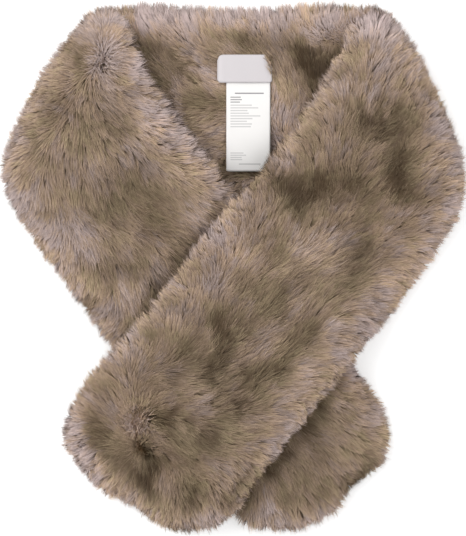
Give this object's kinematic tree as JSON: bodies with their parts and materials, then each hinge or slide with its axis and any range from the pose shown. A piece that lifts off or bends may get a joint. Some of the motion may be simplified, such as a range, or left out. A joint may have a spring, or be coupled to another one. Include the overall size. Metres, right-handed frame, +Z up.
{
  "type": "fur collar wrap",
  "caption": "Soft faux fur collar wrap laid flat, folded at both shoulders with its ends crossed at the front, and blank labels inside the neck.",
  "frame": {"origin": "on the surface it lies on, at the centre of the length and width", "axes": "+Z up from the surface, +Y from the crossed ends towards the back of the neck, +X to the right seen from above"},
  "size_m": [0.382, 0.433, 0.0678],
  "materials": {
    "faux_fur": "long soft pile in grey brown, with darker roots and paler mauve tips",
    "label_satin": "smooth white woven satin, blank"
  },
  "bodies": {
    "root": {"back_stretch": "faux_fur", "under_front": "faux_fur", "over_front": "faux_fur", "neck_label": "label_satin", "care_label": "label_satin"}
  },
  "joints": []
}
